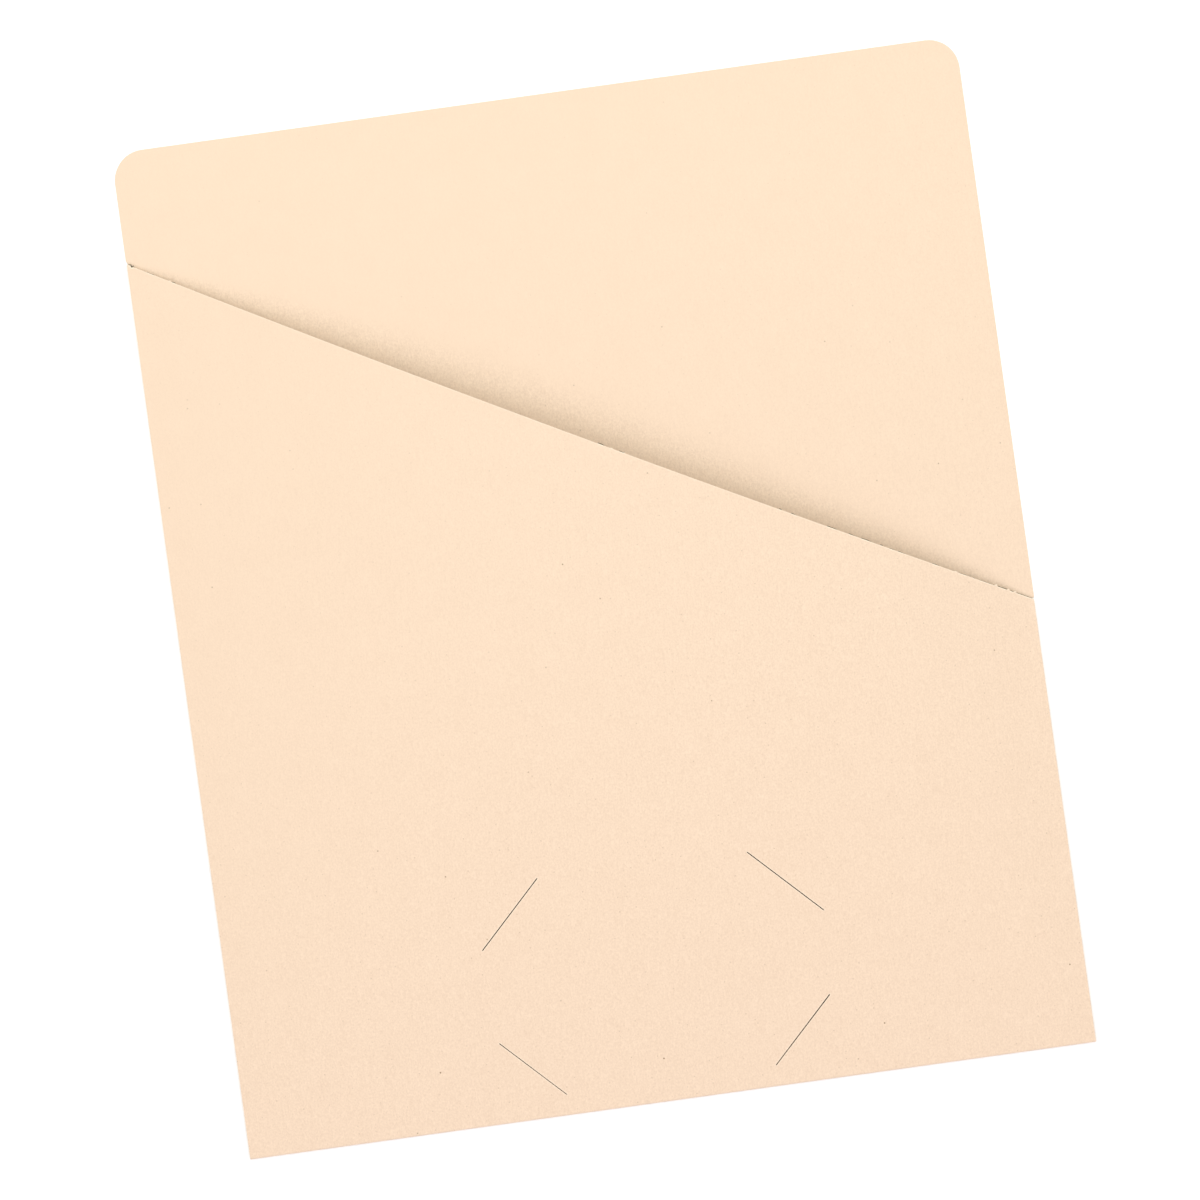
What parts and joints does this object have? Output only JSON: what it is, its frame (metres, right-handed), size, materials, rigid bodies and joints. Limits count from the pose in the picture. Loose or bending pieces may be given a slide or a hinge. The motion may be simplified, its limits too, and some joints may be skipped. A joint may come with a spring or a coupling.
{
  "type": "manila pocket folder",
  "caption": "Letter-size manila card folder: full-height back panel with round top corners, a glued front pocket with a slanted bowed mouth, and slits for a business card.",
  "frame": {"origin": "below the middle of the folder, on the table that its back lies on", "axes": "+X across the folder to the low end of the mouth, +Y up the folder to its round corners, +Z out of the pocket front"},
  "size_m": [0.2414, 0.287, 0.0107],
  "materials": {
    "manila_card": "uncoated, matt, fine fibre grain",
    "adhesive": "dried white paper glue"
  },
  "bodies": {
    "back": {"back_panel": "manila_card", "bottom_crease": "manila_card", "left_side_crease": "manila_card", "right_side_crease": "manila_card"},
    "front": {"front_panel_center": "manila_card"},
    "left_side": {"front_panel_left": "manila_card", "left_glue_flap": "manila_card", "left_glue_line": "adhesive"},
    "right_side": {"front_panel_right": "manila_card", "right_glue_flap": "manila_card", "right_glue_line": "adhesive"}
  },
  "joints": [
    {"name": "bottom_fold", "type": "hinge", "parent": "back", "child": "front", "pos_m": [0, -0.143, 0.00051], "axis": [1, 0, 0], "range_deg": [-2.51, 2.89], "stiffness_Nm_per_rad": 0.4, "springref_deg": 1.01},
    {"name": "left_fold", "type": "hinge", "parent": "back", "child": "left_side", "pos_m": [-0.12011, 0, 0.00034], "axis": [0, -1, 0], "range_deg": [-5, 5.76]},
    {"name": "right_fold", "type": "hinge", "parent": "back", "child": "right_side", "pos_m": [0.12011, 0, 0.00034], "axis": [0, 1, 0], "range_deg": [-5.49, 6.32]}
  ],
  "couplings": [
    {"joint": "left_fold", "follows": "bottom_fold", "ratio": 1.9901},
    {"joint": "right_fold", "follows": "bottom_fold", "ratio": 2.1858}
  ]
}
